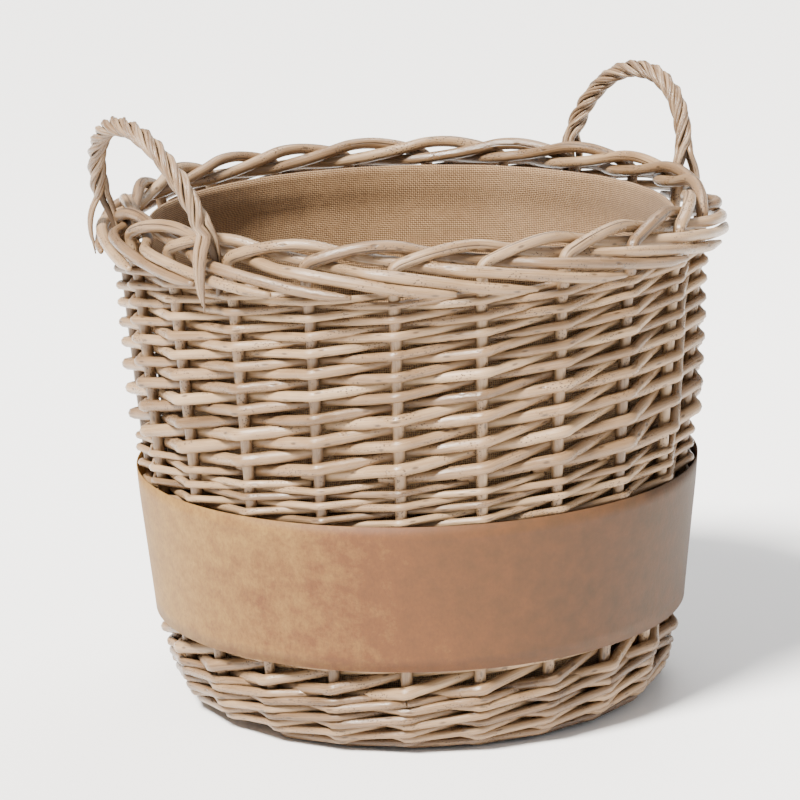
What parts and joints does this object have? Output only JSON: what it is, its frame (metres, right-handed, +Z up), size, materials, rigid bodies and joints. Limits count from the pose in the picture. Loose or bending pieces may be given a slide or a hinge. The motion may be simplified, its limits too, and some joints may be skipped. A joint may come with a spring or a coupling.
{
  "type": "wicker log basket",
  "caption": "Round tapered willow log basket with a rolled rod border, two roped side handles, a hessian lining and a plain card sleeve",
  "frame": {"origin": "centre of the basket's footprint on the floor, under the middle of the base", "axes": "+Z is up along the basket's own axis; +X points to the right handle and -X to the left handle, which stand near the X axis; +Y is the far side and -Y the near side"},
  "size_m": [0.5083, 0.4978, 0.4816],
  "materials": {
    "stake_willow": "whole willow rod in a pale grey-brown antique wash, satin",
    "weaver_willow": "woven willow rod in a pale grey-brown antique wash, satin, darker in the gaps",
    "handle_willow": "fine twisted willow rod in a pale grey-brown antique wash, satin",
    "base_willow": "willow base sticks and base weaving, antique wash, duller and dustier than the wall",
    "hessian": "coarse plain-weave natural jute hessian, matt",
    "kraft_card": "unbleached kraft card, matt, faint fibres, unprinted"
  },
  "bodies": {
    "root": {"base_stick_1": "base_willow", "base_stick_2": "base_willow", "base_stick_3": "base_willow", "base_stick_4": "base_willow", "base_stick_5": "base_willow", "base_stick_6": "base_willow", "base_weave": "base_willow", "foot_wale": "base_willow", "stake_01": "stake_willow", "stake_02": "stake_willow", "stake_03": "stake_willow", "stake_04": "stake_willow", "stake_05": "stake_willow", "stake_06": "stake_willow", "stake_07": "stake_willow", "stake_08": "stake_willow", "stake_09": "stake_willow", "stake_10": "stake_willow", "stake_11": "stake_willow", "stake_12": "stake_willow", "stake_13": "stake_willow", "stake_14": "stake_willow", "stake_15": "stake_willow", "stake_16": "stake_willow", "stake_17": "stake_willow", "stake_18": "stake_willow", "stake_19": "stake_willow", "stake_20": "stake_willow", "stake_21": "stake_willow", "stake_22": "stake_willow", "upsett_wale_1": "weaver_willow", "upsett_wale_2": "weaver_willow", "lower_randing_1": "weaver_willow", "lower_randing_2": "weaver_willow", "lower_randing_3": "weaver_willow", "lower_randing_4": "weaver_willow", "upper_randing_1": "weaver_willow", "upper_randing_2": "weaver_willow", "upper_randing_3": "weaver_willow", "upper_randing_4": "weaver_willow", "upper_randing_5": "weaver_willow", "left_handle_bow": "handle_willow", "left_handle_strand_1": "handle_willow", "left_handle_strand_2": "handle_willow", "left_handle_strand_3": "handle_willow", "left_handle_strand_4": "handle_willow", "right_handle_bow": "handle_willow", "right_handle_strand_1": "handle_willow", "right_handle_strand_2": "handle_willow", "right_handle_strand_3": "handle_willow", "right_handle_strand_4": "handle_willow", "liner_side": "hessian", "liner_base": "hessian", "card_sleeve": "kraft_card"}
  },
  "joints": []
}
